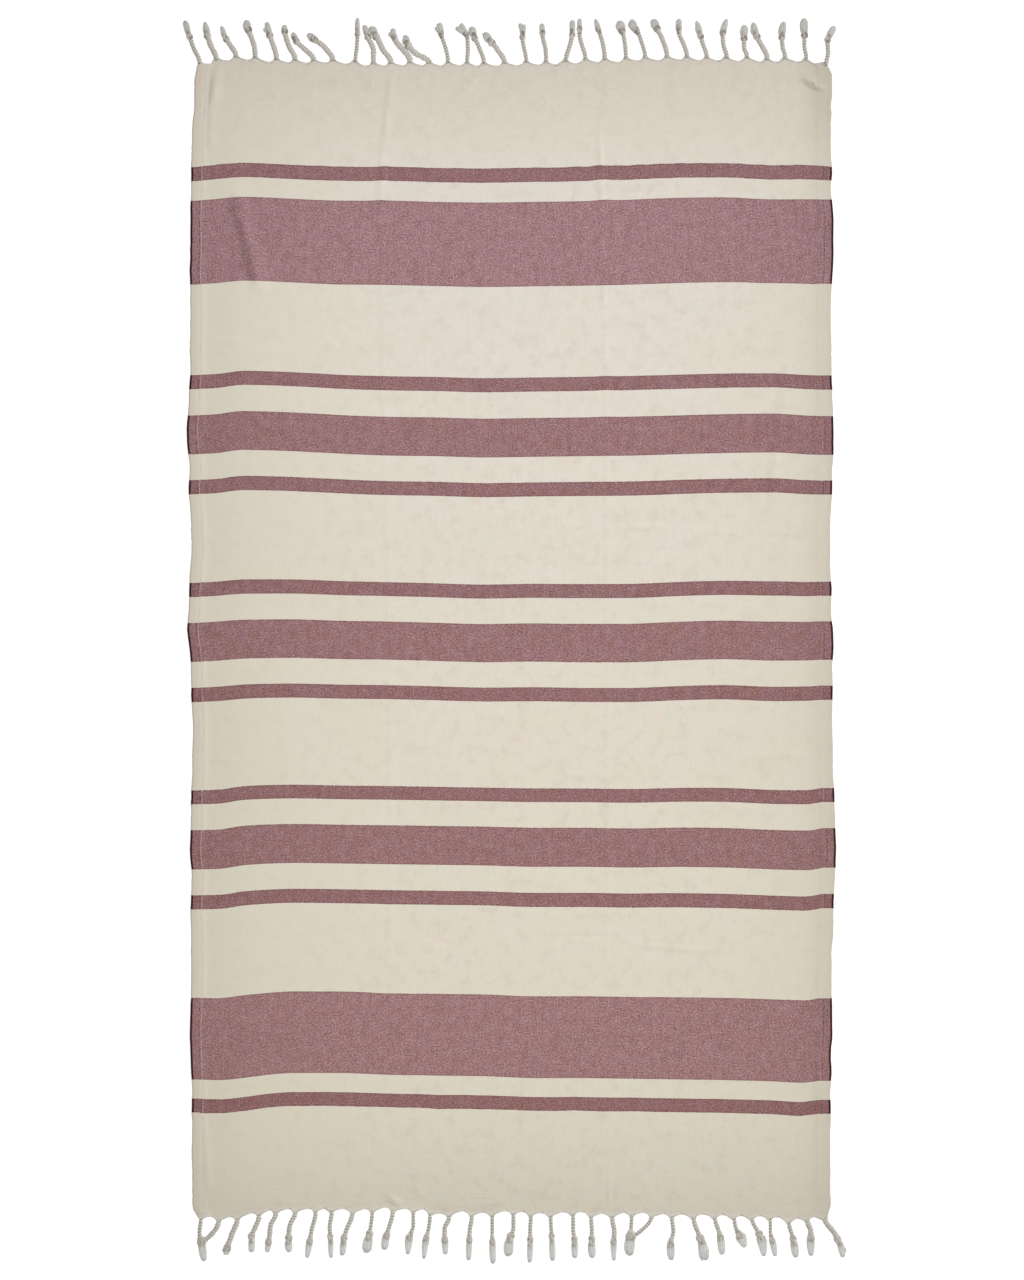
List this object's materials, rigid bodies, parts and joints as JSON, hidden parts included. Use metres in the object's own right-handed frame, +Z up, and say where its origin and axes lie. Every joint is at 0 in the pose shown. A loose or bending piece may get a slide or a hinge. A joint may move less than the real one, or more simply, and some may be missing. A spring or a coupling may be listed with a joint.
{
  "type": "hammam towel",
  "caption": "Flat woven hammam towel laid out flat, cream with mauve cross stripes, turned side hems and a fringe of twisted, knotted cords along each end.",
  "frame": {"origin": "middle of the towel's footprint, fringes included, on the surface that it rests on", "axes": "+X across the towel, +Y along it, +Z up out of the surface"},
  "size_m": [1.0284, 1.9396, 0.009],
  "materials": {
    "striped_cotton": "matte twill weave, cream with mauve cross stripes",
    "fringe_yarn": "matte twisted cotton yarn"
  },
  "bodies": {
    "root": {"towel_cloth": "striped_cotton", "fringe_top": "fringe_yarn", "fringe_bottom": "fringe_yarn"}
  },
  "joints": []
}
